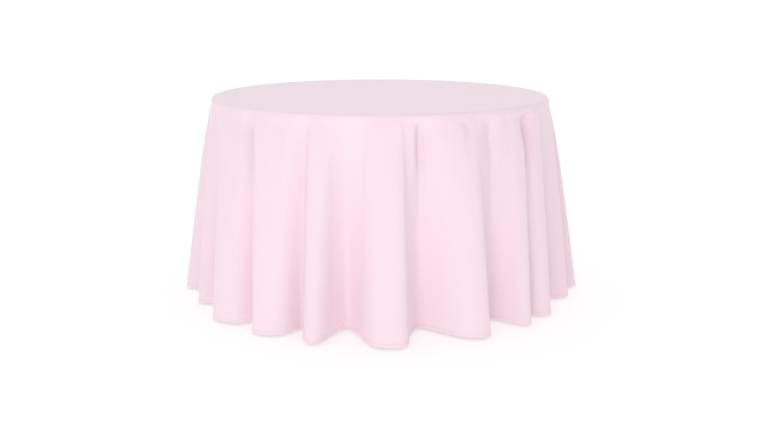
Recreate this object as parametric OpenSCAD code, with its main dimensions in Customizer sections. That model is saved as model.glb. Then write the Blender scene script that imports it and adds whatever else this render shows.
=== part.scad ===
// Round folding banquet table under a floor-length round tablecloth.
// Millimetres, +Z up, origin on the floor under the table's centre, front towards -Y.

/* [Overall size] */
// Diameter of the round tabletop over its edge band
table_d = 1372; // [1140:1:1650]
// Height of the tabletop's upper face above the floor
table_h = 762; // [640:1:915]

/* [Tabletop] */
// Thickness of the plywood panel and of the edge band
panel_t = 19; // [16:0.5:25]
// Thickness of the edge band outside the panel
band_w = 3; // [2.5:0.5:6]
// Thickness of the wooden runner that holds the left leg frame
runner_t = 12; // [12:0.5:20]

/* [Leg frames] */
// Outside diameter of the steel leg tubes
tube_d = 25.4; // [20:0.1:30]
// Wall thickness of the steel tubes
tube_wall = 1.5; // [1:0.1:3]
// Distance of each leg frame's pivot in from the table's edge
leg_inset = 256; // [230:1:300]
// Half the distance between the two legs of one frame
half_track = 295; // [240:1:310]
// Outward lean of the standing legs, in degrees
splay = 3; // [2:0.5:5]
// Distance of the cross bar below the pivot, along the leg
bar_down = 200; // [170:1:240]
// Distance of the stay's anchor in from the leg frame's pivot
anchor_in = 220; // [210:1:280]

/* [Tablecloth] */
// Thickness of the fabric's stand-in solids
cloth_t = 1.5; // [1:0.1:2.5]
// Height of the hem's lower edge above the floor
hem_gap = 8; // [3:1:60]
// Height of the turned hem
hem_h = 12; // [8:1:25]
// Number of folds round the skirt
folds = 26; // [12:2:32]
// How far the outward folds stand out at the hem
flare = 145; // [60:1:180]

/* [Hidden] */
table_r = table_d / 2;
panel_r = table_r - band_w;
under_z = table_h - panel_t;
band_chamfer = panel_t / 5;
tongue_l = 9;
tongue_h = 3;
groove_slack = 0.15;

tube_r = tube_d / 2;
running = 0.05;
plate_t = 3;
runner_w = 64;
pivot_drop = runner_t + plate_t + tube_r + 8.3;
stack_step = tube_d + 6.6;
left_z = under_z - pivot_drop;
right_z = left_z - stack_step;
left_len = left_z / cos(splay);
right_len = right_z / cos(splay);
foot_r = tube_r + 2.3;
foot_h = 36;
foot_floor = 5;
clear_of_runner = runner_w / 2 + foot_r + 20;
pivot_x = max(table_r - leg_inset, (left_len + clear_of_runner) / 2);
foot_x = pivot_x + left_z * tan(splay);
room_y = sqrt(pow(table_r - 25, 2) - pow(foot_x, 2));
leg_y = min(half_track, room_y - foot_r);
bracket_y = leg_y + tube_r + 22;
bracket_w = 30;
pivot_half = bracket_y + bracket_w / 2 + 5;
runner_half = pivot_half + 8;
bracket_l = 70;
housing_r = tube_r + 3.8;
bracket_screw = 26;

link_hw = 7;
link_t = 3;
link_gap = 1.5;
pin_r = 3;
pin_hole = pin_r + running;
pin_head_r = 5;
head_t = 2;
end_gap = 0.3;
lug_out = tube_r + link_hw + 2.3;
lug_y = link_gap + link_t + 0.5;
tab_t = 3;
fold_angle = 90 + splay;
bar_u = -bar_down * sin(splay) + lug_out * cos(splay);
bar_w = -lug_out * sin(splay) - bar_down * cos(splay);
stay_u = anchor_in - bar_u;
stay_w = lug_out - bar_w;
stay_len = sqrt(stay_u * stay_u + stay_w * stay_w);
upper_len = (stay_len + anchor_in - bar_down) / 2;
lower_len = (stay_len - anchor_in + bar_down) / 2;
stay_lean = atan2(stay_w, stay_u);

screw_r = 2;
screw_head_r = 4.2;
screw_head_t = 2.4;
screw_bite = 9;
pilot_r = screw_r + 0.1;
plate_hole_r = screw_r + 0.3;
pilot_deep = screw_bite + 1;
anchor_l = 48;
anchor_w = 36;
anchor_screw_x = 16;
anchor_screw_y = -10;

cloth_gap = 1.5;
wall = cloth_t + 0.5;
skirt_r = table_r + cloth_gap + wall;
skirt_top = table_h;
skirt_low = hem_gap + hem_h;
per_fold = 12;
round_n = folds * per_fold;
drape_rows = 4;
fold_shift = -68;
wander_2 = 128;
wander_2_at = 105;
wander_4 = 49;
wander_4_at = 58;

// A cylinder along Y from y0 to y1
module y_rod(r, y0, y1, sides = 48) {
  translate([0, y1, 0])
    rotate([90, 0, 0])
      cylinder(r = r, h = y1 - y0, $fn = sides);
}

// ---- tabletop ----

module tabletop_panel() {
  color([0.78, 0.62, 0.42])
  difference() {
    translate([0, 0, under_z])
      cylinder(r = panel_r, h = panel_t, $fn = 180);
    rotate_extrude($fn = 180)
      translate([panel_r - tongue_l - groove_slack, under_z + panel_t / 2 - tongue_h / 2 - groove_slack])
        square([tongue_l + groove_slack + 1, tongue_h + 2 * groove_slack]);
    for (side = [-1, 1])
      for (e = [-1, 1])
        translate([side * (pivot_x - anchor_in) + e * anchor_screw_x, anchor_screw_y, under_z - 1])
          cylinder(r = pilot_r, h = pilot_deep + 1, $fn = 24);
  }
}

module edge_band() {
  color([0.30, 0.22, 0.16])
  rotate_extrude($fn = 180)
    polygon([
      [panel_r, under_z],
      [table_r - band_chamfer * 0.5, under_z],
      [table_r, under_z + band_chamfer],
      [table_r, table_h - band_chamfer],
      [table_r - band_chamfer * 0.5, table_h],
      [panel_r, table_h],
      [panel_r, under_z + panel_t / 2 + tongue_h / 2],
      [panel_r - tongue_l, under_z + panel_t / 2 + tongue_h / 2],
      [panel_r - tongue_l, under_z + panel_t / 2 - tongue_h / 2],
      [panel_r, under_z + panel_t / 2 - tongue_h / 2]
    ]);
}

module runner(side, thick) {
  color([0.70, 0.54, 0.36])
  difference() {
    translate([side * pivot_x - runner_w / 2, -runner_half, under_z - thick])
      cube([runner_w, 2 * runner_half, thick]);
    for (end = [-1, 1])
      for (e = [-1, 1])
        translate([side * pivot_x + e * bracket_screw, end * bracket_y, under_z - thick - 1])
          cylinder(r = pilot_r, h = pilot_deep + 1, $fn = 24);
  }
}

module left_runner() {
  runner(-1, runner_t);
}

module right_runner() {
  runner(1, runner_t + stack_step);
}

// ---- pivot brackets ----

module bracket(side, end, pz) {
  color([0.55, 0.56, 0.58])
  translate([side * pivot_x, end * bracket_y, pz])
    difference() {
      union() {
        y_rod(housing_r, -bracket_w / 2, bracket_w / 2);
        translate([-housing_r, -bracket_w / 2, 0])
          cube([2 * housing_r, bracket_w, pivot_drop - runner_t - plate_t / 2]);
        translate([-bracket_l / 2, -bracket_w / 2, pivot_drop - runner_t - plate_t])
          cube([bracket_l, bracket_w, plate_t]);
      }
      y_rod(tube_r + running, -bracket_w, bracket_w);
      for (e = [-1, 1])
        translate([e * bracket_screw, 0, pivot_drop - runner_t - plate_t - 1])
          cylinder(r = plate_hole_r, h = plate_t + 2, $fn = 24);
    }
}

module left_front_bracket() {
  bracket(-1, -1, left_z);
}

module left_rear_bracket() {
  bracket(-1, 1, left_z);
}

module right_front_bracket() {
  bracket(1, -1, right_z);
}

module right_rear_bracket() {
  bracket(1, 1, right_z);
}

// ---- stay anchors under the panel ----

module stay_anchor(side, pz) {
  reach = under_z - pz - lug_out;
  color([0.55, 0.56, 0.58])
  translate([side * (pivot_x - anchor_in), 0, pz + lug_out])
    difference() {
      union() {
        translate([-anchor_l / 2, -anchor_w / 2, reach - plate_t])
          cube([anchor_l, anchor_w, plate_t]);
        translate([-link_hw - 1, lug_y, 0])
          cube([2 * link_hw + 2, tab_t, reach - plate_t / 2]);
        y_rod(link_hw + 1, lug_y, lug_y + tab_t);
      }
      y_rod(pin_hole, lug_y - 1, lug_y + tab_t + 1);
      for (e = [-1, 1])
        translate([e * anchor_screw_x, anchor_screw_y, reach - plate_t - 1])
          cylinder(r = plate_hole_r, h = plate_t + 2, $fn = 24);
    }
}

module left_stay_anchor() {
  stay_anchor(-1, left_z);
}

module right_stay_anchor() {
  stay_anchor(1, right_z);
}

// A headed pin: its outer head lies on the tab and its inner head keeps the link on
module anchor_pin(side, pz) {
  color([0.72, 0.72, 0.74])
  translate([side * (pivot_x - anchor_in), 0, pz + lug_out]) {
    y_rod(pin_r, link_gap - end_gap - head_t / 2, lug_y + tab_t + head_t / 2);
    y_rod(pin_head_r, lug_y + tab_t, lug_y + tab_t + head_t);
    y_rod(pin_head_r, link_gap - end_gap - head_t, link_gap - end_gap);
  }
}

module left_anchor_pin() {
  anchor_pin(-1, left_z);
}

module right_anchor_pin() {
  anchor_pin(1, right_z);
}

// One pan-head screw with its head's seat at z = 0, pointing up
module screw() {
  cylinder(r = screw_r, h = plate_t + screw_bite, $fn = 24);
  translate([0, 0, -screw_head_t])
    cylinder(r = screw_head_r, h = screw_head_t, $fn = 24);
}

module mounting_screws() {
  color([0.80, 0.80, 0.82])
  for (e = [-1, 1]) {
    for (side = [-1, 1])
      translate([side * (pivot_x - anchor_in) + e * anchor_screw_x, anchor_screw_y, under_z - plate_t])
        screw();
    for (end = [-1, 1]) {
      translate([-pivot_x + e * bracket_screw, end * bracket_y, left_z + pivot_drop - runner_t - plate_t])
        screw();
      translate([pivot_x + e * bracket_screw, end * bracket_y, right_z + pivot_drop - runner_t - plate_t])
        screw();
    }
  }
}

// ---- leg frames ----

// Puts what is drawn hanging down from a frame's pivot into place
module in_frame(side, pz) {
  translate([side * pivot_x, 0, pz])
    rotate([0, -side * splay, 0])
      children();
}

module pivot_tube(side, pz) {
  color([0.42, 0.43, 0.45])
  translate([side * pivot_x, 0, pz])
    difference() {
      y_rod(tube_r, -pivot_half, pivot_half);
      y_rod(tube_r - tube_wall, -pivot_half - 1, pivot_half + 1);
    }
}

module left_pivot_tube() {
  pivot_tube(-1, left_z);
}

module right_pivot_tube() {
  pivot_tube(1, right_z);
}

module leg(side, end, pz, len) {
  color([0.42, 0.43, 0.45])
  in_frame(side, pz)
    difference() {
      translate([0, end * leg_y, -len + foot_floor])
        cylinder(r = tube_r, h = len - foot_floor, $fn = 48);
      translate([0, end * leg_y, -len + foot_floor - 1])
        cylinder(r = tube_r - tube_wall, h = len - foot_floor, $fn = 48);
      y_rod(tube_r, -pivot_half, pivot_half);
    }
}

module left_front_leg() {
  leg(-1, -1, left_z, left_len);
}

module left_rear_leg() {
  leg(-1, 1, left_z, left_len);
}

module right_front_leg() {
  leg(1, -1, right_z, right_len);
}

module right_rear_leg() {
  leg(1, 1, right_z, right_len);
}

module cross_bar(side, pz) {
  color([0.42, 0.43, 0.45])
  in_frame(side, pz)
    difference() {
      translate([0, 0, -bar_down])
        y_rod(tube_r, -leg_y, leg_y);
      translate([0, 0, -bar_down])
        y_rod(tube_r - tube_wall, -leg_y - 1, leg_y + 1);
      for (end = [-1, 1])
        translate([0, end * leg_y, -bar_down - 2 * tube_r])
          cylinder(r = tube_r, h = 4 * tube_r, $fn = 48);
    }
}

module left_cross_bar() {
  cross_bar(-1, left_z);
}

module right_cross_bar() {
  cross_bar(1, right_z);
}

module stay_lug(side, pz) {
  color([0.55, 0.56, 0.58])
  in_frame(side, pz)
    translate([0, 0, -bar_down])
      difference() {
        union() {
          translate([-side * lug_out / 2 - lug_out / 2, -lug_y - tab_t, -link_hw - 1])
            cube([lug_out, tab_t, 2 * link_hw + 2]);
          translate([-side * lug_out, 0, 0])
            y_rod(link_hw + 1, -lug_y - tab_t, -lug_y);
        }
        translate([-side * lug_out, 0, 0])
          y_rod(pin_hole, -lug_y - tab_t - 1, -lug_y + 1);
        y_rod(tube_r, -lug_y - tab_t - 1, -lug_y + 1);
      }
}

module left_stay_lug() {
  stay_lug(-1, left_z);
}

module right_stay_lug() {
  stay_lug(1, right_z);
}

module lug_pin(side, pz) {
  color([0.72, 0.72, 0.74])
  in_frame(side, pz)
    translate([-side * lug_out, 0, -bar_down]) {
      y_rod(pin_r, -lug_y - tab_t - head_t / 2, -link_gap + end_gap + head_t / 2);
      y_rod(pin_head_r, -lug_y - tab_t - head_t, -lug_y - tab_t);
      y_rod(pin_head_r, -link_gap + end_gap, -link_gap + end_gap + head_t);
    }
}

module left_lug_pin() {
  lug_pin(-1, left_z);
}

module right_lug_pin() {
  lug_pin(1, right_z);
}

// A plastic cap over the tube's end, cut level where it stands on the floor
module foot(side, end, pz, len) {
  color([0.16, 0.16, 0.17])
  difference() {
    in_frame(side, pz)
      difference() {
        translate([0, end * leg_y, -len - 4])
          cylinder(r = foot_r, h = foot_h + 4, $fn = 48);
        translate([0, end * leg_y, -len + foot_floor])
          cylinder(r = tube_r, h = foot_h + 4, $fn = 48);
      }
    translate([side * foot_x - 60, end * leg_y - 60, -40])
      cube([120, 120, 40]);
  }
}

module left_front_foot() {
  foot(-1, -1, left_z, left_len);
}

module left_rear_foot() {
  foot(-1, 1, left_z, left_len);
}

module right_front_foot() {
  foot(1, -1, right_z, right_len);
}

module right_rear_foot() {
  foot(1, 1, right_z, right_len);
}

// ---- folding stays ----

// A flat bar along +X with round ends and a pin hole at each end
module flat_link(len, y0) {
  difference() {
    union() {
      translate([0, y0, -link_hw])
        cube([len, link_t, 2 * link_hw]);
      y_rod(link_hw, y0, y0 + link_t);
      translate([len, 0, 0])
        y_rod(link_hw, y0, y0 + link_t);
    }
    y_rod(pin_hole, y0 - 1, y0 + link_t + 1);
    translate([len, 0, 0])
      y_rod(pin_hole, y0 - 1, y0 + link_t + 1);
  }
}

// Puts what is drawn along +X from a stay's anchor into place; the stay is straight at rest
module along_stay(side, pz, from) {
  translate([side * (pivot_x - anchor_in), 0, pz + lug_out])
    rotate([0, side < 0 ? 180 - stay_lean : stay_lean, 0])
      translate([from, 0, 0])
        children();
}

module upper_stay(side, pz) {
  color([0.62, 0.63, 0.65])
  along_stay(side, pz, 0)
    flat_link(upper_len, link_gap);
}

module lower_stay(side, pz) {
  color([0.62, 0.63, 0.65])
  along_stay(side, pz, upper_len)
    flat_link(lower_len, -link_gap - link_t);
}

// The knee's rivet stays on the lower bar and ends short of the upper bar
module knee_rivet(side, pz) {
  color([0.72, 0.72, 0.74])
  along_stay(side, pz, upper_len) {
    y_rod(pin_r, -link_gap - link_t - head_t / 2, link_gap - end_gap);
    y_rod(pin_head_r, -link_gap - link_t - head_t, -link_gap - link_t);
  }
}

// The rivet's closing head stays on the upper bar
module knee_cap(side, pz) {
  color([0.72, 0.72, 0.74])
  along_stay(side, pz, upper_len) {
    y_rod(pin_r, link_gap + end_gap, link_gap + link_t + head_t / 2);
    y_rod(pin_head_r, link_gap + link_t, link_gap + link_t + head_t);
  }
}

module left_upper_stay() {
  upper_stay(-1, left_z);
}

module left_lower_stay() {
  lower_stay(-1, left_z);
}

module left_knee_rivet() {
  knee_rivet(-1, left_z);
}

module left_knee_cap() {
  knee_cap(-1, left_z);
}

module right_upper_stay() {
  upper_stay(1, right_z);
}

module right_lower_stay() {
  lower_stay(1, right_z);
}

module right_knee_rivet() {
  knee_rivet(1, right_z);
}

module right_knee_cap() {
  knee_cap(1, right_z);
}

// ---- tablecloth ----

// How far the evenly spaced folds are shifted round the skirt; it repeats every half turn, so opposite
// sides match and the skirt's box stays centred
function wander(a) =
  fold_shift + wander_2 * cos(2 * a + wander_2_at) + wander_4 * cos(4 * a + wander_4_at);

// How far out the skirt's fold stands at an angle from the front, 0 in a valley and 1 on a lobe
function fold_out(a) = 0.5 + 0.5 * cos(folds * a + wander(a));

// The skirt's outer radius at an angle and a height; each fold widens evenly from the table's edge
function skirt_out(a, z) =
  skirt_r + flare * fold_out(a) * (skirt_top - z) / (skirt_top - hem_gap);

// One ring of points round the skirt
function skirt_ring(z, inside) = [
  for (i = [0 : round_n - 1])
    let (a = 360 * i / round_n, r = skirt_out(a, z) - inside)
      [r * sin(a), -r * cos(a), z]
];

// The faces between two rings, as triangles; the second ring lies above the first or inside it
function band_faces(lo, hi) = [
  for (i = [0 : round_n - 1])
    let (j = (i + 1) % round_n)
      each [[lo + i, hi + i, lo + j], [lo + j, hi + i, hi + j]]
];

// The same faces turned to face inwards; sharing their diagonals keeps the fabric's two sides apart
function lining_faces(lo, hi) = [for (f = band_faces(lo, hi)) [f[0], f[2], f[1]]];

// A closed fluted tube of one wall's thickness between two heights, in a number of rows
module skirt_tube(z0, z1, thick, rows) {
  heights = [for (k = [0 : rows]) z0 + (z1 - z0) * k / rows];
  top = rows * round_n;
  lining = top + round_n;
  polyhedron(
    points = concat(
      [for (z = heights) each skirt_ring(z, 0)],
      [for (z = heights) each skirt_ring(z, thick)]
    ),
    faces = concat(
      [for (k = [0 : rows - 1]) each band_faces(k * round_n, (k + 1) * round_n)],
      [for (k = [0 : rows - 1]) each lining_faces(lining + k * round_n, lining + (k + 1) * round_n)],
      band_faces(top, lining + top),
      band_faces(lining, 0)
    ),
    convexity = 10
  );
}

module cloth_top() {
  color([0.95, 0.82, 0.88])
  rotate_extrude($fn = 180)
    polygon([
      [0, table_h],
      [skirt_r, table_h],
      [skirt_r - cloth_t * 0.7, table_h + cloth_t],
      [0, table_h + cloth_t]
    ]);
}

module cloth_drape() {
  color([0.95, 0.80, 0.87])
    skirt_tube(skirt_low, skirt_top, wall, drape_rows);
}

module cloth_hem() {
  color([0.94, 0.78, 0.86])
    skirt_tube(hem_gap, skirt_low, wall, 1);
}

tabletop_panel();
edge_band();
left_runner();
right_runner();
left_front_bracket();
left_rear_bracket();
right_front_bracket();
right_rear_bracket();
left_stay_anchor();
right_stay_anchor();
left_anchor_pin();
right_anchor_pin();
mounting_screws();
left_pivot_tube();
left_front_leg();
left_rear_leg();
left_cross_bar();
left_stay_lug();
left_lug_pin();
left_front_foot();
left_rear_foot();
right_pivot_tube();
right_front_leg();
right_rear_leg();
right_cross_bar();
right_stay_lug();
right_lug_pin();
right_front_foot();
right_rear_foot();
left_upper_stay();
left_lower_stay();
left_knee_rivet();
left_knee_cap();
right_upper_stay();
right_lower_stay();
right_knee_rivet();
right_knee_cap();
cloth_top();
cloth_drape();
cloth_hem();
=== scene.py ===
"""Dresses a round folding table with its floor-length round tablecloth."""

import math

import bpy
import numpy as np
from bpy.props import FloatProperty, FloatVectorProperty, IntProperty, PointerProperty
from bpy.types import Operator, Panel, PropertyGroup
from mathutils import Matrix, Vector


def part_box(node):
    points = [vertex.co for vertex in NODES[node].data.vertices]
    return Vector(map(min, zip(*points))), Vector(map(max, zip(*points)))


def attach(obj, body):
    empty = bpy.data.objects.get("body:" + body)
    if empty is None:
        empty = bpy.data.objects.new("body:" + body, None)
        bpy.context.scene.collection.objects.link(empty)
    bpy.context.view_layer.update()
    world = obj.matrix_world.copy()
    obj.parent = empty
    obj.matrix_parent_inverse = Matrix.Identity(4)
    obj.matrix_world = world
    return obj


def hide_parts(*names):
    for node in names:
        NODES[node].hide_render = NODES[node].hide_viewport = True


bl_info = {
    "name": "Round Tablecloth",
    "version": (1, 0, 0),
    "blender": (4, 5, 0),
    "location": "3D View > Sidebar > Tablecloth",
    "description": "Drapes a round cloth over a folding table and finishes the table under it",
    "category": "Object",
}

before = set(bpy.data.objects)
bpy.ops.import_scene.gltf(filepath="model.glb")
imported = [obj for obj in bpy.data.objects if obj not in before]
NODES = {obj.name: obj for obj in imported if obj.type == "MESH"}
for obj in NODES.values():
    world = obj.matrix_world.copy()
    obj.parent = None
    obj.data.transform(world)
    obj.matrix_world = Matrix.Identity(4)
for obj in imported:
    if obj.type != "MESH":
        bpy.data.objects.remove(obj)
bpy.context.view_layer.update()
BAND_LOW, BAND_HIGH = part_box("edge_band")
HEM_LOW, HEM_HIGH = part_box("cloth_hem")

TABLE_R = (BAND_HIGH.x - BAND_LOW.x) / 2
TABLE_TOP = BAND_HIGH.z
HEM_GAP = HEM_LOW.z
HEM_H = HEM_HIGH.z - HEM_LOW.z
TAU = 2 * math.pi

# ---------------------------------------------------------------- settings


class ClothSettings(PropertyGroup):
    """Sizes of the cloth and of its folds."""

    lift: FloatProperty(
        name="Lift",
        description="Height of the cloth's lower side above the tabletop",
        default=0.0008,
        unit="LENGTH",
    )
    roll: FloatProperty(
        name="Edge roll",
        description="Radius of the roll where the cloth turns down over the table's edge",
        default=0.012,
        unit="LENGTH",
    )
    thickness: FloatProperty(
        name="Thickness",
        description="Thickness of the fabric",
        default=0.0006,
        unit="LENGTH",
    )
    segments: IntProperty(
        name="Segments",
        description="Points round each ring of the cloth",
        default=560,
        min=120,
    )
    flare: FloatProperty(
        name="Flare",
        description="How far the fullest folds stand out past the table's edge at the hem",
        default=0.170,
        unit="LENGTH",
    )
    stitch: FloatProperty(
        name="Stitch length",
        description="Distance from one stitch of the hem to the next",
        default=0.0045,
        unit="LENGTH",
    )
    fullness: FloatProperty(
        name="Fullness",
        description="How soon the folds open below the edge: 1 is evenly, less is sooner",
        default=0.85,
        min=0.3,
        max=2.0,
    )


class LookSettings(PropertyGroup):
    """Colours of the finishes and strengths of the studio light."""

    fabric: FloatVectorProperty(
        name="Fabric",
        description="Colour of the fabric",
        subtype="COLOR",
        size=3,
        default=(0.878, 0.695, 0.768),
        min=0.0,
        max=1.0,
    )
    plywood: FloatVectorProperty(
        name="Plywood",
        description="Colour of the lacquered birch of the tabletop and the runners",
        subtype="COLOR",
        size=3,
        default=(0.56, 0.38, 0.20),
        min=0.0,
        max=1.0,
    )
    vinyl: FloatVectorProperty(
        name="Edge vinyl",
        description="Colour of the vinyl band round the tabletop",
        subtype="COLOR",
        size=3,
        default=(0.045, 0.032, 0.026),
        min=0.0,
        max=1.0,
    )
    paint: FloatVectorProperty(
        name="Frame paint",
        description="Colour of the hammered powder coat on the leg frames",
        subtype="COLOR",
        size=3,
        default=(0.23, 0.22, 0.20),
        min=0.0,
        max=1.0,
    )
    sky: FloatProperty(
        name="Sky",
        description="Strength of the soft studio light from all round",
        default=0.715,
        min=0.0,
    )
    sky_fall: FloatProperty(
        name="Sky fall",
        description="How much the soft light falls off from its bright side to its dark side",
        default=0.58,
        min=0.0,
        max=0.7,
    )
    key: FloatProperty(
        name="Key light",
        description="Power of the large light at the front left",
        default=62.0,
        unit="POWER",
    )
    fill: FloatProperty(
        name="Fill light",
        description="Power of the large light at the front right",
        default=11.0,
        unit="POWER",
    )
    floor_glow: FloatProperty(
        name="Floor glow",
        description="Strength of the lit white studio floor",
        default=0.55,
        min=0.0,
    )


# ---------------------------------------------------------------- the folds

# The hem seen from above, all the way round: each point's direction in degrees from the front, round by
# the right, and how far out it hangs, from 0 straight under the table's edge to 1 at the full flare
HEM_PLAN = (
    (-91, 0.35), (-84.5, 0.84), (-77.5, 0.34), (-70, 0.92), (-63, 0.42), (-56.5, 0.90),
    (-50, 0.32), (-45.5, 1.03), (-38.5, 0.92), (-34.2, 0.50), (-31.6, 1.0), (-27.6, 0.99),
    (-24.2, 0.82), (-21.2, 0.38), (-18.4, 0.86), (-15.4, 1.02), (-13.5, 0.80), (-12.0, 0.42),
    (-9.3, 0.12), (-6.0, 0.36), (-3.6, 0.70), (-0.8, 0.98), (3, 1.04), (6.2, 0.95), (7.6, 0.50),
    (10.8, 0.14), (14, 0.28), (18, 0.64), (21.5, 0.90), (25.5, 1.03), (27.6, 0.86), (28.8, 0.45),
    (31.5, 0.24), (34.8, 0.50), (37.5, 0.95), (40, 0.97), (42.0, 0.55), (44.5, 0.82), (48, 1.0),
    (51.5, 0.56), (55, 0.40), (62, 0.92), (65.5, 0.42), (71, 0.97), (77.5, 0.30), (84.5, 0.86),
    (91, 0.32), (97, 0.80), (104, 0.95), (110, 0.36), (117, 0.90), (123, 0.30), (130, 0.98),
    (136.5, 0.90), (142, 0.34), (149, 0.88), (155.5, 0.26), (163, 0.94), (169, 0.98), (174, 0.40),
    (181, 0.90), (187, 0.30), (195, 1.0), (201, 0.94), (207, 0.30), (214.5, 0.92), (221, 0.34),
    (228, 0.96), (234.5, 0.32), (242.5, 0.90), (248, 0.94), (254, 0.30), (261.5, 0.92),
)
# How far the folds swing round towards the front between the table's edge and the hem: directions at
# the hem and the degrees of swing there
SWING = (
    (-180, 0), (-150, -2), (-100, -9), (-70, -12), (-50, -11), (-31, -6.5), (-20, -0.8), (-9, 0),
    (11, -0.8), (27, 0), (42, 7), (56, 9.5), (72, 10.5), (100, 7), (150, 2), (180, 0),
)
# Pockets where the cloth tucks in under the table's edge: direction at the edge, widths to the left and
# to the right of it in degrees, depth and length in metres
TUCKS = (
    (-66, 4.5, 3.0, 0.016, 0.26), (-57, 2.0, 2.0, 0.005, 0.12), (-47.5, 2.2, 1.6, 0.006, 0.14),
    (-41, 3.8, 1.0, 0.036, 0.26), (-29.5, 2.6, 1.2, 0.010, 0.20), (-21.5, 3.0, 2.0, 0.013, 0.34),
    (-14.6, 1.0, 1.4, 0.006, 0.16), (-4.4, 2.2, 0.7, 0.007, 0.30), (10.4, 0.7, 3.2, 0.030, 0.24),
    (24.5, 1.4, 0.8, 0.010, 0.11), (34.5, 3.6, 1.1, 0.024, 0.26), (40.5, 1.4, 1.8, 0.005, 0.10),
    (51.5, 5.2, 1.3, 0.046, 0.24), (61.5, 2.0, 3.4, 0.016, 0.30), (78, 3.0, 4.0, 0.014, 0.24),
    (95, 1.6, 4.0, 0.018, 0.26), (110, 2.0, 3.0, 0.012, 0.20), (125, 1.6, 3.6, 0.018, 0.30),
    (142, 3.0, 1.8, 0.014, 0.22), (156, 1.5, 3.8, 0.018, 0.28), (174.5, 2.0, 3.0, 0.014, 0.22),
    (187.5, 3.8, 1.5, 0.018, 0.30), (206.5, 2.0, 3.2, 0.015, 0.24),
    (221.5, 3.6, 1.6, 0.017, 0.28), (235.5, 2.0, 3.0, 0.013, 0.22),
    (251.5, 3.8, 1.5, 0.018, 0.30), (267.5, 2.0, 3.2, 0.014, 0.24), (281, 3.4, 1.8, 0.015, 0.24),
)
# A tuck starts within TUCK_START below the edge, is deepest at 1 / TUCK_PEAK of its length, and narrows
# downwards by TUCK_TAPER to no less than TUCK_NARROWEST of its width
TUCK_START = 0.03
TUCK_PEAK = 3
TUCK_TAPER = 0.9
TUCK_NARROWEST = 0.35
# Rings of the cloth: on the tabletop as shares of the table's radius, then in from the table's edge,
# then evenly over the edge, then further and further apart down to the seam of the hem
TOP_RINGS = (0.18, 0.36, 0.52, 0.66, 0.78, 0.87)
EDGE_RINGS = (0.06, 0.04, 0.026)
EDGE_STEP = 0.0042
EDGE_REACH = 0.03
STEP_GROWTH = 1.12
LONGEST_STEP = 0.0135
SEAM_ROOM = 0.008
SEAM_RINGS = (-0.003, 0.0, 0.004)
# Points of the hem's curve for each point of its plan
HEM_STEPS = 24
# How far out from the edge band the cloth hangs, how near to it a tuck may come, and how steeply it may
# tuck in below the band
EDGE_CLEAR = 0.0065
BAND_CLEAR = 0.0028
TUCK_SLOPE = 1.4


def deselect():
    """Leaves nothing selected and no active object."""
    for o in bpy.context.selected_objects:
        o.select_set(False)
    bpy.context.view_layer.objects.active = None


def activate(o):
    """Makes one object the only selected one."""
    deselect()
    o.select_set(True)
    bpy.context.view_layer.objects.active = o


# ---------------------------------------------------------------- the cloth's shape


def smooth(t):
    """Eases from 0 to 1 as t goes from 0 to 1."""
    t = np.clip(t, 0, 1)
    return t * t * (3 - 2 * t)


def around(points, steps):
    """A smooth closed curve through (direction, value) points, sampled evenly between them."""
    pts = np.array([*points, (points[0][0] + 360, points[0][1])], float)
    pts = np.concatenate([pts[-3:-1] - [[360, 0]], pts, pts[1:3] + [[360, 0]]])
    out = []
    t = np.arange(steps)[:, None] / steps
    for i in range(2, len(pts) - 3):
        p0, p1, p2, p3 = pts[i - 1], pts[i], pts[i + 1], pts[i + 2]
        m1, m2 = (p2 - p0) / 2, (p3 - p1) / 2
        start = p1 * (2 * t**3 - 3 * t**2 + 1) + m1 * (t**3 - 2 * t**2 + t)
        out.append(start + p2 * (3 * t**2 - 2 * t**3) + m2 * (t**3 - t**2))
    return np.concatenate(out)


def on_circle(degrees, points):
    """Smooth value at each direction, from (direction, value) points over one turn."""
    at = np.array([p[0] for p in points], float)
    val = np.array([p[1] for p in points], float)
    d = (degrees + 180) % 360 - 180
    i = np.clip(np.searchsorted(at, d, side="right") - 1, 0, len(at) - 2)
    t = (d - at[i]) / (at[i + 1] - at[i])
    return val[i] + (val[i + 1] - val[i]) * t * t * (3 - 2 * t)


def hem_curve(seg, flare):
    """The hem's points in plan, evenly spaced, and the direction on the edge that each hangs from."""
    curve = around(HEM_PLAN, HEM_STEPS)
    az, out = np.radians(curve[:, 0]), curve[:, 1]
    r = TABLE_R + flare * out
    x, y = r * np.sin(az), -r * np.cos(az)
    step = np.hypot(np.diff(np.append(x, x[0])), np.diff(np.append(y, y[0])))
    run = np.append(0, np.cumsum(step))
    at = np.arange(seg) * run[-1] / seg
    x, y = (np.interp(at, run, np.append(v, v[0])) for v in (x, y))
    turn = np.interp(at, run, np.append(curve[:, 0], curve[0, 0] + 360))
    rim = np.radians(turn + on_circle(turn, SWING))
    return x, y, rim


def hung_path(rho, roll, lift):
    """Radius and height of cloth hung straight over the edge, at each flat radius."""
    top = TABLE_TOP + lift
    turn = TABLE_R + EDGE_CLEAR - roll
    a = np.clip((rho - turn) / roll, 0, math.pi / 2)
    radius = np.minimum(rho, turn) + roll * np.sin(a)
    height = top - roll * (1 - np.cos(a)) - np.maximum(rho - turn - roll * math.pi / 2, 0)
    return radius, height


def flat_radius(roll):
    """Radius that the cloth is cut to, so that its hem hangs at the hem's height."""
    return TABLE_R + EDGE_CLEAR - roll + roll * math.pi / 2 + TABLE_TOP - roll - HEM_GAP


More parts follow.
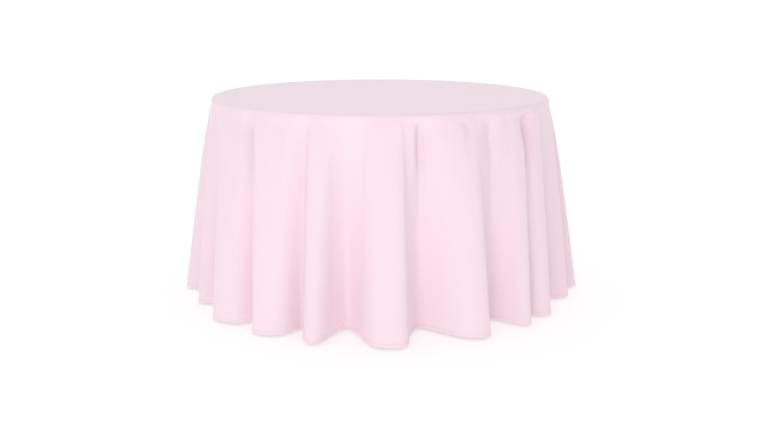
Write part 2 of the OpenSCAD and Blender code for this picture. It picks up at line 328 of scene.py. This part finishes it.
def ring_radii(flat_r):
    """Flat radii of the rings, closest together over the table's edge."""
    rings = [TABLE_R * r for r in TOP_RINGS]
    rings += [TABLE_R - r for r in EDGE_RINGS]
    step = EDGE_STEP
    while rings[-1] < TABLE_R + EDGE_REACH:
        rings.append(rings[-1] + step)
    seam = flat_r - HEM_H
    while rings[-1] < seam:
        step = min(step * STEP_GROWTH, LONGEST_STEP)
        rings.append(rings[-1] + step)
    return np.array([r for r in rings if r < seam - SEAM_ROOM] + [seam + r for r in SEAM_RINGS])


def hung_cloth(rings, seg, s):
    """Points of the cloth: flat on the top, rolled over the edge, then hanging in folds to the hem."""
    hem_x, hem_y, rim = hem_curve(seg, s.flare)
    base_r, base_z = hung_path(rings, s.roll, s.lift)
    start = TABLE_TOP + s.lift - s.roll
    drop = start - HEM_GAP
    down = np.clip((start - base_z) / drop, 0, 1)
    degrees = np.degrees(rim)
    points = np.zeros((len(rings), seg, 3))
    for n, (r, z, d) in enumerate(zip(base_r, base_z, down)):
        w = d**s.fullness
        x = r * np.sin(rim) * (1 - w) + hem_x * w
        y = -r * np.cos(rim) * (1 - w) + hem_y * w
        below = d * drop
        pull = np.zeros(seg)
        for at, left, right, depth, length in TUCKS:
            t = below / length
            off = (degrees - at + 180) % 360 - 180
            off = off / (np.where(off < 0, left, right) * max(TUCK_NARROWEST, 1 - TUCK_TAPER * t))
            deep = depth * TUCK_PEAK * t * math.exp(1 - TUCK_PEAK * t) * smooth(below / TUCK_START)
            pull += deep * np.exp(-(off**2))
        far = np.hypot(x, y)
        clear = TABLE_R + BAND_CLEAR - TUCK_SLOPE * max(0, BAND_LOW.z - z)
        keep = np.where(pull > 0, np.maximum(far - pull, np.minimum(far, clear)) / far, 1)
        points[n] = np.stack([x * keep, y * keep, np.full(seg, z)], 1)
    return points


def ring_faces(n_rings, seg):
    """Quads between rings of points, facing outwards for rings that run outwards and down."""
    i = np.arange(n_rings - 1)[:, None] * seg
    j = np.arange(seg)[None, :]
    k = (j + 1) % seg
    quads = np.stack([i + j, i + seg + j, i + seg + k, i + k], -1)
    return quads.reshape(-1, 4)


def make_mesh(name, points, faces):
    """A new mesh object in the scene from points and faces."""
    mesh = bpy.data.meshes.new(name)
    mesh.from_pydata([tuple(p) for p in points], [], [tuple(int(v) for v in f) for f in faces])
    mesh.update()
    o = bpy.data.objects.new(name, mesh)
    bpy.context.scene.collection.objects.link(o)
    return o


def flat_uv(mesh, rho, theta, flat_r):
    """Gives each corner its place on the flat cloth, from 0 to 1 across the whole cut."""
    layer = mesh.uv_layers.new(name="FlatCloth")
    loops = np.zeros(len(mesh.loops), np.int32)
    mesh.loops.foreach_get("vertex_index", loops)
    u = 0.5 + rho * np.sin(theta) / (2 * flat_r)
    v = 0.5 - rho * np.cos(theta) / (2 * flat_r)
    layer.data.foreach_set("uv", np.stack([u[loops], v[loops]], 1).ravel().astype(np.float32))


# ---------------------------------------------------------------- materials

# Distance that the weave takes to repeat, a little coarser than the yarn so that it shows
YARN_PITCH = 0.001
BARE_STEEL = (0.42, 0.41, 0.40)
FLOOR_DUST = (0.30, 0.28, 0.25)
FOOT_BLACK = (0.028, 0.028, 0.030)


def new_material(name):
    """An empty node material with a Principled shader, and its tree."""
    mat = bpy.data.materials.new(name)
    mat.use_nodes = True
    nt = mat.node_tree
    return mat, nt, nt.nodes["Principled BSDF"]


def node(nt, kind, values=None, **settings):
    """Adds a node; values are its inputs' values or the sockets linked to them."""
    n = nt.nodes.new(kind)
    for name, value in settings.items():
        setattr(n, name, value)
    for socket, value in (values or {}).items():
        if isinstance(value, bpy.types.NodeSocket):
            nt.links.new(value, n.inputs[socket])
        else:
            n.inputs[socket].default_value = value
    return n


def maths(nt, operation, a, b=0.0):
    """Output of a Math node."""
    return node(nt, "ShaderNodeMath", {0: a, 1: b}, operation=operation).outputs[0]


def spread(nt, value, low, high, to_low=0.0, to_high=1.0):
    """Maps a value from low..high to to_low..to_high, held at its ends."""
    values = {"Value": value, "From Min": low, "From Max": high, "To Min": to_low, "To Max": to_high}
    return node(nt, "ShaderNodeMapRange", values, clamp=True).outputs["Result"]


def tint(nt, mask, a, b):
    """Colour that goes from a to b as the mask goes from 0 to 1."""
    n = node(nt, "ShaderNodeMix", {0: mask}, data_type="RGBA")
    for i, colour in ((6, a), (7, b)):
        if isinstance(colour, bpy.types.NodeSocket):
            nt.links.new(colour, n.inputs[i])
        else:
            n.inputs[i].default_value = (*colour, 1)
    return n.outputs[2]


def stretched(nt, vector, scale):
    """The pattern's coordinates, scaled along each axis."""
    return node(nt, "ShaderNodeMapping", {"Vector": vector, "Scale": scale}).outputs["Vector"]


def noise(nt, vector, scale, detail=3.0, rough=0.5):
    """Output of a Noise texture."""
    values = {"Vector": vector, "Scale": scale, "Detail": detail, "Roughness": rough}
    return node(nt, "ShaderNodeTexNoise", values).outputs["Fac"]


def effect(name, inputs, outputs):
    """A new shader node group with its named sockets, and its input and output nodes."""
    g = bpy.data.node_groups.new(name, "ShaderNodeTree")
    for socket, kind, value in inputs:
        made = g.interface.new_socket(name=socket, in_out="INPUT", socket_type=kind)
        if value is not None:
            made.default_value = value
    for socket in outputs:
        g.interface.new_socket(name=socket, in_out="OUTPUT", socket_type="NodeSocketFloat")
    return g, g.nodes.new("NodeGroupInput").outputs, g.nodes.new("NodeGroupOutput").inputs


def scuffs_effect():
    """Patches of wear, with fine scratches in them."""
    g, given, out = effect(
        "scuffs",
        (
            ("Vector", "NodeSocketVector", None),
            ("Scale", "NodeSocketFloat", 20),
            ("Cover", "NodeSocketFloat", 0.3),
        ),
        ("Mask", "Scratches"),
    )
    patches = noise(g, given["Vector"], given["Scale"], 6, 0.65)
    edge = maths(g, "SUBTRACT", 0.78, maths(g, "MULTIPLY", given["Cover"], 0.4))
    over = maths(g, "SUBTRACT", patches, edge)
    mask = spread(g, over, 0.0, 0.1)
    lines = noise(g, stretched(g, given["Vector"], (0.12, 1, 1)), 900, 2, 0.6)
    scratch = spread(g, lines, 0.62, 0.7)
    g.links.new(mask, out["Mask"])
    g.links.new(maths(g, "MULTIPLY", scratch, spread(g, patches, 0.45, 0.7)), out["Scratches"])
    return g


def grain_effect():
    """Wood grain along X: its broad figure and its fine pores."""
    g, given, out = effect(
        "long_grain",
        (("Vector", "NodeSocketVector", None), ("Scale", "NodeSocketFloat", 9)),
        ("Figure", "Pores"),
    )
    drawn = stretched(g, given["Vector"], (0.07, 1, 1))
    warp = noise(g, drawn, maths(g, "MULTIPLY", given["Scale"], 0.6), 4, 0.55)
    rings = maths(g, "SINE", maths(g, "MULTIPLY", warp, 46))
    close = maths(g, "MULTIPLY", given["Scale"], 55)
    fine = noise(g, stretched(g, given["Vector"], (0.018, 1, 1)), close, 3, 0.6)
    g.links.new(spread(g, rings, -1, 1), out["Figure"])
    g.links.new(spread(g, fine, 0.56, 0.72), out["Pores"])
    return g


def weave_effect():
    """Plain weave over the flat cloth in metres: the yarns' height and their uneven thickness."""
    g, given, out = effect(
        "plain_weave",
        (("Vector", "NodeSocketVector", None), ("Pitch", "NodeSocketFloat", YARN_PITCH)),
        ("Height", "Slub"),
    )
    part = node(g, "ShaderNodeSeparateXYZ", {"Vector": given["Vector"]})
    turn = maths(g, "DIVIDE", TAU, given["Pitch"])
    warp = maths(g, "SINE", maths(g, "MULTIPLY", part.outputs["X"], turn))
    weft = maths(g, "SINE", maths(g, "MULTIPLY", part.outputs["Y"], turn))
    g.links.new(spread(g, maths(g, "MULTIPLY", warp, weft), -1, 1), out["Height"])
    ends = noise(g, stretched(g, given["Vector"], (900, 14, 1)), 1, 2, 0.6)
    picks = noise(g, stretched(g, given["Vector"], (14, 900, 1)), 1, 2, 0.6)
    g.links.new(maths(g, "MULTIPLY", maths(g, "ADD", ends, picks), 0.5), out["Slub"])
    return g


def orange_peel_effect():
    """The rolling surface of a thick coat or of moulded plastic."""
    g, given, out = effect(
        "orange_peel",
        (("Vector", "NodeSocketVector", None), ("Scale", "NodeSocketFloat", 300)),
        ("Height", "Pits"),
    )
    values = {"Vector": given["Vector"], "Scale": given["Scale"]}
    cells = node(g, "ShaderNodeTexVoronoi", values, feature="SMOOTH_F1")
    g.links.new(cells.outputs["Distance"], out["Height"])
    g.links.new(spread(g, noise(g, given["Vector"], given["Scale"], 2, 0.5), 0.35, 0.65), out["Pits"])
    return g


EFFECTS = {
    "scuffs": scuffs_effect,
    "long_grain": grain_effect,
    "plain_weave": weave_effect,
    "orange_peel": orange_peel_effect,
}


def placed(nt, name, values):
    """Places a node group in a material, made the first time that it is asked for."""
    tree = bpy.data.node_groups.get(name) or EFFECTS[name]()
    return node(nt, "ShaderNodeGroup", values, node_tree=tree).outputs


def on_object(nt):
    """Coordinates fixed to the object, in metres."""
    return node(nt, "ShaderNodeTexCoord").outputs["Object"]


def finish_with(nt, shader, colour, rough, height, depth, strength=0.6):
    """Links a finish's colour, roughness and bump to its shader."""
    nt.links.new(colour, shader.inputs["Base Color"])
    nt.links.new(rough, shader.inputs["Roughness"])
    bump = node(nt, "ShaderNodeBump", {"Height": height, "Strength": strength, "Distance": depth})
    nt.links.new(bump.outputs["Normal"], shader.inputs["Normal"])


def shade(colour, by):
    """A colour made lighter or darker."""
    return tuple(min(1.0, c * by) for c in colour)


def fabric_material(name, colour, across):
    """Pink polyester: plain weave, uneven yarns, a soft sheen and slight unevenness of the dye."""
    mat, nt, shader = new_material(name)
    flat = node(nt, "ShaderNodeUVMap", uv_map="FlatCloth").outputs["UV"]
    place = stretched(nt, flat, (across, across, 1))
    weave = placed(nt, "plain_weave", {"Vector": place, "Pitch": YARN_PITCH})
    dye = noise(nt, place, 5, 4, 0.5)
    yarn = tint(nt, spread(nt, weave["Slub"], 0.35, 0.65), shade(colour, 0.975), shade(colour, 1.02))
    toned = tint(nt, spread(nt, dye, 0.3, 0.7, 0.0, 0.5), yarn, shade(colour, 0.985))
    rough = spread(nt, weave["Slub"], 0.3, 0.7, 0.68, 0.54)
    height = maths(nt, "ADD", weave["Height"], maths(nt, "MULTIPLY", weave["Slub"], 1.2))
    finish_with(nt, shader, toned, rough, height, 0.00012, 0.45)
    shader.inputs["Sheen Weight"].default_value = 0.2
    shader.inputs["Sheen Roughness"].default_value = 0.4
    shader.inputs["Specular IOR Level"].default_value = 0.3
    return mat


def thread_material(name, colour):
    """Twisted sewing thread, a little shinier and deeper in colour than the fabric."""
    mat, nt, shader = new_material(name)
    place = on_object(nt)
    ply = noise(nt, place, 2600, 2, 0.5)
    fuzz = noise(nt, place, 90, 3, 0.5)
    toned = tint(nt, spread(nt, ply, 0.35, 0.65), shade(colour, 0.88), shade(colour, 0.99))
    finish_with(nt, shader, toned, spread(nt, fuzz, 0.3, 0.7, 0.42, 0.56), ply, 0.0001, 0.5)
    return mat


def wood_material(name, colour, scale, lacquer):
    """Lacquered wood with its grain along X, darker pores and some knocks."""
    mat, nt, shader = new_material(name)
    place = on_object(nt)
    grain = placed(nt, "long_grain", {"Vector": place, "Scale": scale})
    worn = placed(nt, "scuffs", {"Vector": place, "Scale": 14, "Cover": 0.35})
    figure = tint(nt, grain["Figure"], shade(colour, 0.80), shade(colour, 1.12))
    pored = tint(nt, maths(nt, "MULTIPLY", grain["Pores"], 0.6), figure, shade(colour, 0.42))
    toned = tint(nt, maths(nt, "MULTIPLY", worn["Mask"], 0.35), pored, shade(colour, 1.3))
    rough = spread(nt, maths(nt, "ADD", worn["Mask"], grain["Pores"]), 0, 1, lacquer, lacquer + 0.28)
    finish_with(nt, shader, toned, rough, maths(nt, "SUBTRACT", 1.0, grain["Pores"]), 0.0003, 0.5)
    return mat


def vinyl_material(name, colour):
    """Dull extruded vinyl with a leathery skin, rubbed pale where it is knocked."""
    mat, nt, shader = new_material(name)
    place = on_object(nt)
    skin = placed(nt, "orange_peel", {"Vector": place, "Scale": 900})
    worn = placed(nt, "scuffs", {"Vector": place, "Scale": 30, "Cover": 0.4})
    mottled = tint(nt, skin["Pits"], shade(colour, 0.85), shade(colour, 1.2))
    rubbed = tint(nt, maths(nt, "MULTIPLY", worn["Mask"], 0.3), mottled, shade(colour, 3.2))
    rough = spread(nt, worn["Mask"], 0, 1, 0.42, 0.66)
    finish_with(nt, shader, rubbed, rough, skin["Height"], 0.00015, 0.4)
    return mat


def metal_material(name, colour, tarnish, scale, gloss):
    """Bare or plated steel with drawn lines, cloudy tone and a little tarnish; gloss is low and high."""
    mat, nt, shader = new_material(name)
    place = on_object(nt)
    drawn = noise(nt, stretched(nt, place, (0.06, 1, 1)), scale * 6, 3, 0.6)
    cloud = node(nt, "ShaderNodeTexVoronoi", {"Vector": place, "Scale": scale}).outputs["Distance"]
    worn = placed(nt, "scuffs", {"Vector": place, "Scale": 60, "Cover": 0.45})
    toned = tint(nt, spread(nt, cloud, 0.1, 0.7), colour, shade(colour, 0.82))
    tarnished = tint(nt, maths(nt, "MULTIPLY", worn["Mask"], 0.5), toned, tarnish)
    dull = maths(nt, "MULTIPLY", worn["Mask"], 0.5)
    blurred = maths(nt, "ADD", maths(nt, "MULTIPLY", drawn, 0.6), dull)
    rough = spread(nt, blurred, 0.1, 0.9, *gloss)
    finish_with(nt, shader, tarnished, rough, drawn, 0.00006, 0.35)
    nt.links.new(spread(nt, worn["Mask"], 0, 1, 1.0, 0.75), shader.inputs["Metallic"])
    return mat


def paint_material(name, colour):
    """Hammered powder coat, chipped to the steel in a few spots."""
    mat, nt, shader = new_material(name)
    place = on_object(nt)
    coat = placed(nt, "orange_peel", {"Vector": place, "Scale": 420})
    worn = placed(nt, "scuffs", {"Vector": place, "Scale": 34, "Cover": 0.22})
    speckled = tint(nt, coat["Pits"], shade(colour, 0.84), shade(colour, 1.18))
    bare = maths(nt, "MULTIPLY", worn["Mask"], 0.8)
    chipped = tint(nt, bare, speckled, BARE_STEEL)
    rough = spread(nt, maths(nt, "ADD", coat["Pits"], worn["Scratches"]), 0, 1.4, 0.30, 0.5)
    height = maths(nt, "SUBTRACT", coat["Height"], maths(nt, "MULTIPLY", worn["Mask"], 0.4))
    finish_with(nt, shader, chipped, rough, height, 0.00035, 0.6)
    nt.links.new(spread(nt, bare, 0, 1, 0.25, 0.95), shader.inputs["Metallic"])
    return mat


def plastic_material(name, colour):
    """Black moulded plastic, finely textured and dusty low down."""
    mat, nt, shader = new_material(name)
    place = on_object(nt)
    skin = placed(nt, "orange_peel", {"Vector": place, "Scale": 1400})
    worn = placed(nt, "scuffs", {"Vector": place, "Scale": 50, "Cover": 0.5})
    height = node(nt, "ShaderNodeSeparateXYZ", {"Vector": place}).outputs["Z"]
    patchy = spread(nt, skin["Pits"], 0, 1, 0.15, 0.5)
    dusty = maths(nt, "MULTIPLY", spread(nt, height, 0.03, 0.0), patchy)
    mottled = tint(nt, skin["Pits"], shade(colour, 0.85), shade(colour, 1.25))
    toned = tint(nt, dusty, mottled, FLOOR_DUST)
    rough = spread(nt, maths(nt, "ADD", worn["Mask"], dusty), 0, 1, 0.44, 0.72)
    finish_with(nt, shader, toned, rough, skin["Height"], 0.0001, 0.5)
    return mat


def dress(material, *names):
    """Gives CAD nodes their material; a name that starts with an underscore stands for both sides."""
    for name in names:
        for full in (f"left{name}", f"right{name}") if name.startswith("_") else (name,):
            slots = NODES[full].data.materials
            if len(slots) == 0:
                slots.append(material)
            for i in range(len(slots)):
                slots[i] = material


# ---------------------------------------------------------------- stage

# The floor's flat part, then how far each step of its swept edge goes out, as a share, and up
FLOOR_R = 12
FLOOR_SWEEP = ((1.25, 0.15), (1.2, 0.5), (1.12, 1.1), (1.05, 2.2))
FLOOR_GREY = 0.5
FLOOR_FAR_GLOW = 0.12
# The direction that the studio's soft light comes from
SKY_FROM = (-0.04, 0.90, 0.43)
KEY_AT = (-1.15, -5.0, 1.15)
FILL_AT = (2.4, -4.4, 2.2)
LIGHT_SIZE = 2.4
LIGHT_AIM = (0, 0, 0.4)
CAMERA_BACK = 3.04
CAMERA_UP = 0.311
CAMERA_PITCH = 15.42
CAMERA_LENS = 33.9


def studio_floor(glow):
    """A round pale floor whose far edge sweeps up on every side."""
    bpy.ops.mesh.primitive_circle_add(vertices=96, radius=FLOOR_R, fill_type="NOTHING")
    floor = bpy.context.active_object
    floor.name = "floor"
    bpy.ops.object.mode_set(mode="EDIT")
    bpy.ops.mesh.select_all(action="SELECT")
    for out, up in FLOOR_SWEEP:
        bpy.ops.mesh.extrude_edges_move(TRANSFORM_OT_translate={"value": (0, 0, up)})
        bpy.ops.transform.resize(value=(out, out, 1), center_override=(0, 0, 0))
    bpy.ops.mesh.select_all(action="DESELECT")
    bpy.ops.object.mode_set(mode="OBJECT")
    for v in floor.data.vertices:
        v.select = v.co.z == 0
    bpy.ops.object.mode_set(mode="EDIT")
    bpy.ops.mesh.edge_face_add()
    bpy.ops.object.mode_set(mode="OBJECT")
    floor.data.shade_smooth()
    mat, nt, shader = new_material("floor_paint")
    shader.inputs["Base Color"].default_value = (FLOOR_GREY, FLOOR_GREY, FLOOR_GREY, 1)
    shader.inputs["Roughness"].default_value = 0.9
    shader.inputs["Specular IOR Level"].default_value = 0.1
    reach = node(nt, "ShaderNodeVectorMath", {0: on_object(nt)}, operation="LENGTH").outputs["Value"]
    level = spread(nt, reach, 5, 14, glow, glow + FLOOR_FAR_GLOW)
    grey = node(nt, "ShaderNodeCombineColor", {"Red": level, "Green": level, "Blue": level})
    nt.links.new(grey.outputs["Color"], shader.inputs["Emission Color"])
    shader.inputs["Emission Strength"].default_value = 1
    floor.data.materials.append(mat)
    return floor


def studio_world(strength, fall):
    """Soft light from all round, strongest from behind the table, in front of a white backdrop."""
    world = bpy.data.worlds.new("studio")
    world.use_nodes = True
    nt = world.node_tree
    where = node(nt, "ShaderNodeTexCoord").outputs["Generated"]
    along = node(nt, "ShaderNodeVectorMath", {0: where, 1: SKY_FROM}, operation="DOT_PRODUCT")
    level = spread(nt, along.outputs["Value"], -1, 1, strength - fall, strength + fall)
    seen = node(nt, "ShaderNodeLightPath").outputs["Is Camera Ray"]
    shown = maths(nt, "MAXIMUM", level, seen)
    back = nt.nodes["Background"]
    back.inputs["Color"].default_value = (1, 1, 1, 1)
    nt.links.new(shown, back.inputs["Strength"])
    return world


# ---------------------------------------------------------------- operators


def edge_normals(ring):
    """Level outward direction of the cloth at each point of one ring."""
    along = np.roll(ring, -1, 0) - np.roll(ring, 1, 0)
    out = np.stack([along[:, 1], -along[:, 0], np.zeros(len(ring))], 1)
    return out / np.linalg.norm(out, axis=1)[:, None]


# The hem's section: down the outer side, round the folded edge and up the inner side. Each point is its
# distance out from the cloth's inner side, 0 for the hem's top or 1 for its folded edge, and how far it
# lies past that line along the cloth
HEM_SECTION = (
    (0.0007, 0, 0.0),
    (0.0013, 0, 0.0008),
    (0.0013, 0, 0.004),
    (0.0013, 1, -0.004),
    (0.0013, 1, -0.0008),
    (0.0003, 1, 0.0),
    (-0.0007, 1, -0.0008),
    (-0.0007, 1, -0.004),
    (-0.0007, 0, 0.004),
    (-0.0007, 0, 0.0008),
    (0.0, 0, 0.0),
)
HEM_FACE = 0.0013
STITCH_DROP = 0.003
STITCH_SHARE = 0.72
THREAD_R = 0.0003
THREAD_SINK = 0.0003


def hem_mesh(s, flat_r):
    """The turned hem: three layers of fabric round the cloth's lower edge."""
    rho = [flat_r - HEM_H * (1 - end) + past for _, end, past in HEM_SECTION]
    rings = hung_cloth(np.array(rho), s.segments, s)
    walls = [ring + edge_normals(ring) * out for ring, (out, _, _) in zip(rings, HEM_SECTION)]
    seg = s.segments
    faces = ring_faces(len(walls) + 1, seg) % (len(walls) * seg)
    o = make_mesh("turned_hem", np.concatenate(walls), faces)
    rim = hem_curve(seg, s.flare)[2]
    flat_uv(o.data, np.repeat(rho, seg), np.tile(rim, len(walls)), flat_r)
    o.data.shade_smooth()
    return o


def one_stitch(length):
    """Points and faces of one stitch along X, its ends drawn down into the fabric."""
    deselect()
    bpy.ops.mesh.primitive_cylinder_add(
        vertices=6, radius=THREAD_R, depth=length, end_fill_type="NGON", rotation=(0, math.pi / 2, 0)
    )
    o = bpy.context.active_object
    bpy.ops.object.transform_apply(location=True, rotation=True, scale=True)
    bpy.ops.object.mode_set(mode="EDIT")
    for x in (-length * 0.3, length * 0.3):
        bpy.ops.mesh.select_all(action="SELECT")
        bpy.ops.mesh.bisect(plane_co=(x, 0, 0), plane_no=(1, 0, 0))
    bpy.ops.mesh.select_all(action="DESELECT")
    bpy.ops.object.mode_set(mode="OBJECT")
    for v in o.data.vertices:
        v.select = abs(v.co.x) > length * 0.45
    bpy.ops.object.mode_set(mode="EDIT")
    bpy.ops.transform.resize(value=(1, 0.5, 0.5), center_override=(0, 0, 0))
    bpy.ops.transform.translate(value=(0, 0, -THREAD_SINK))
    bpy.ops.object.mode_set(mode="OBJECT")
    pts = np.array([v.co[:] for v in o.data.vertices])
    faces = [tuple(p.vertices) for p in o.data.polygons]
    mesh = o.data
    bpy.data.objects.remove(o)
    bpy.data.meshes.remove(mesh)
    return pts, faces


def stitching_mesh(s, flat_r):
    """The row of stitches along the hem's top, each a copy of one stitch."""
    ring = hung_cloth(np.array([flat_r - HEM_H + STITCH_DROP]), s.segments, s)[0]
    ring = ring + edge_normals(ring) * HEM_FACE
    closed = np.concatenate([ring, ring[:1]])
    run = np.append(0, np.cumsum(np.linalg.norm(np.diff(closed, axis=0), axis=1)))
    count = int(run[-1] / s.stitch)
    at = np.arange(count) * run[-1] / count
    place = np.stack([np.interp(at, run, closed[:, i]) for i in range(3)], 1)
    ahead = np.stack([np.interp((at + 0.001) % run[-1], run, closed[:, i]) for i in range(3)], 1)
    along = ahead - place
    along /= np.linalg.norm(along, axis=1)[:, None]
    out = np.stack([along[:, 1], -along[:, 0], np.zeros(count)], 1)
    up = np.cross(out, along)
    shape, faces = one_stitch(s.stitch * STITCH_SHARE)
    pts = (
        place[:, None]
        + shape[None, :, 0, None] * along[:, None]
        + shape[None, :, 1, None] * up[:, None]
        + shape[None, :, 2, None] * out[:, None]
    )
    every = [tuple(v + i * len(shape) for v in f) for i in range(count) for f in faces]
    o = make_mesh("hem_stitching", pts.reshape(-1, 3), every)
    o.data.shade_smooth()
    return o


class TABLECLOTH_OT_hem(Operator):
    """Turn the hem round the cloth's lower edge and sew it with one row of stitches"""

    bl_idname = "tablecloth.hem"
    bl_label = "Hem and stitching"

    def execute(self, context):
        s = context.scene.tablecloth
        colour = context.scene.tablecloth_look.fabric
        flat_r = flat_radius(s.roll)
        hem = hem_mesh(s, flat_r)
        hem.data.materials.append(fabric_material("pink_polyester_hem", colour, 2 * flat_r))
        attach(hem, "cloth")
        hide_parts("cloth_hem")
        stitches = stitching_mesh(s, flat_r)
        stitches.data.materials.append(thread_material("hem_thread", colour))
        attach(stitches, "cloth")
        return {"FINISHED"}


class TABLECLOTH_OT_cloth(Operator):
    """Drape the round cloth over the table in folds and give it its thickness"""

    bl_idname = "tablecloth.cloth"
    bl_label = "Cloth"

    def execute(self, context):
        s = context.scene.tablecloth
        flat_r = flat_radius(s.roll)
        rings = ring_radii(flat_r)
        seg = s.segments
        points = hung_cloth(rings, seg, s)
        pts = np.concatenate([[(0, 0, TABLE_TOP + s.lift)], points.reshape(-1, 3)])
        quads = ring_faces(len(rings), seg) + 1
        fan = [(0, 1 + j, 1 + (j + 1) % seg) for j in range(seg)]
        o = make_mesh("tablecloth", pts, [*fan, *quads])
        rim = hem_curve(seg, s.flare)[2]
        rho = np.concatenate([[0], np.repeat(rings, seg)])
        flat_uv(o.data, rho, np.concatenate([[0], np.tile(rim, len(rings))]), flat_r)
        o.data.shade_smooth()
        activate(o)
        m = o.modifiers.new("Thickness", "SOLIDIFY")
        m.thickness = s.thickness
        m.offset = 1.0
        bpy.ops.object.modifier_apply(modifier=m.name)
        colour = context.scene.tablecloth_look.fabric
        o.data.materials.append(fabric_material("pink_polyester", colour, 2 * flat_r))
        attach(o, "cloth")
        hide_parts("cloth_top", "cloth_drape")
        return {"FINISHED"}


class TABLECLOTH_OT_top(Operator):
    """Finish the tabletop, its edge band and the runners under it"""

    bl_idname = "tablecloth.top"
    bl_label = "Tabletop"

    def execute(self, context):
        look = context.scene.tablecloth_look
        dress(wood_material("plywood", look.plywood, 7, 0.34), "tabletop_panel")
        dress(vinyl_material("edge_vinyl", look.vinyl), "edge_band")
        dress(wood_material("runner_wood", shade(look.plywood, 1.15), 16, 0.5), "_runner")
        return {"FINISHED"}


class TABLECLOTH_OT_legs(Operator):
    """Finish the painted leg frames and their plastic feet"""

    bl_idname = "tablecloth.legs"
    bl_label = "Leg frames"

    def execute(self, context):
        look = context.scene.tablecloth_look
        paint = paint_material("frame_paint", look.paint)
        dress(paint, "_pivot_tube", "_front_leg", "_rear_leg", "_cross_bar")
        dress(plastic_material("foot_plastic", FOOT_BLACK), "_front_foot", "_rear_foot")
        return {"FINISHED"}


# Each metal's colour, the colour of its tarnish, the scale of its clouds and its lowest and highest
# roughness
METALS = {
    "zinc_plate": ((0.66, 0.67, 0.66), (0.34, 0.33, 0.30), 70, (0.32, 0.55)),
    "stay_steel": ((0.58, 0.58, 0.57), (0.26, 0.22, 0.18), 30, (0.22, 0.45)),
    "rivet_steel": ((0.47, 0.47, 0.48), (0.16, 0.14, 0.12), 160, (0.28, 0.5)),
}
METAL_NODES = {
    "zinc_plate": ("_front_bracket", "_rear_bracket", "_stay_anchor", "_stay_lug"),
    "stay_steel": ("_upper_stay", "_lower_stay"),
    "rivet_steel": ("_anchor_pin", "_lug_pin", "_knee_rivet", "_knee_cap", "mounting_screws"),
}


class TABLECLOTH_OT_hardware(Operator):
    """Finish the stays, brackets, pins and screws"""

    bl_idname = "tablecloth.hardware"
    bl_label = "Stays and hardware"

    def execute(self, context):
        for finish, nodes in METAL_NODES.items():
            dress(metal_material(finish, *METALS[finish]), *nodes)
        return {"FINISHED"}


class TABLECLOTH_OT_stage(Operator):
    """Set up the pale floor, the soft studio light and the camera"""

    bl_idname = "tablecloth.stage"
    bl_label = "Stage"

    def execute(self, context):
        look = context.scene.tablecloth_look
        floor = studio_floor(look.floor_glow)
        context.scene.world = studio_world(look.sky, look.sky_fall)
        for name, place, power in (("key_light", KEY_AT, look.key), ("fill_light", FILL_AT, look.fill)):
            light = bpy.data.lights.new(name, "AREA")
            light.energy = power
            light.size = LIGHT_SIZE
            o = bpy.data.objects.new(name, light)
            o.location = place
            o.rotation_euler = (Vector(LIGHT_AIM) - Vector(place)).to_track_quat("-Z", "Y").to_euler()
            context.scene.collection.objects.link(o)

        cam = bpy.data.cameras.new("camera")
        cam.lens = CAMERA_LENS
        cam.sensor_width = 36
        cam.clip_end = 200
        o = bpy.data.objects.new("camera", cam)
        o.location = (0, -CAMERA_BACK, TABLE_TOP + CAMERA_UP)
        o.rotation_euler = (math.radians(90 - CAMERA_PITCH), 0, 0)
        context.scene.collection.objects.link(o)
        context.scene.camera = o
        context.scene.view_settings.view_transform = "Standard"
        return {"FINISHED"}


class TABLECLOTH_PT_panel(Panel):
    """Lists the tablecloth's steps in the sidebar"""

    bl_idname = "TABLECLOTH_PT_panel"
    bl_label = "Round Tablecloth"
    bl_space_type = "VIEW_3D"
    bl_region_type = "UI"
    bl_category = "Tablecloth"

    def draw(self, context):
        col = self.layout.column()
        for step in STEPS:
            col.operator(step.bl_idname)


STEPS = (
    TABLECLOTH_OT_stage,
    TABLECLOTH_OT_hem,
    TABLECLOTH_OT_cloth,
    TABLECLOTH_OT_top,
    TABLECLOTH_OT_legs,
    TABLECLOTH_OT_hardware,
)
CLASSES = (ClothSettings, LookSettings, *STEPS, TABLECLOTH_PT_panel)


def register():
    for c in CLASSES:
        bpy.utils.register_class(c)
    bpy.types.Scene.tablecloth = PointerProperty(type=ClothSettings)
    bpy.types.Scene.tablecloth_look = PointerProperty(type=LookSettings)


def unregister():
    del bpy.types.Scene.tablecloth_look
    del bpy.types.Scene.tablecloth
    for c in reversed(CLASSES):
        bpy.utils.unregister_class(c)


def main():
    """Registers the add-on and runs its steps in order."""
    register()
    deselect()
    bpy.ops.tablecloth.stage()
    bpy.ops.tablecloth.hem()
    bpy.ops.tablecloth.cloth()
    bpy.ops.tablecloth.top()
    bpy.ops.tablecloth.legs()
    bpy.ops.tablecloth.hardware()


if __name__ == "__main__":
    main()
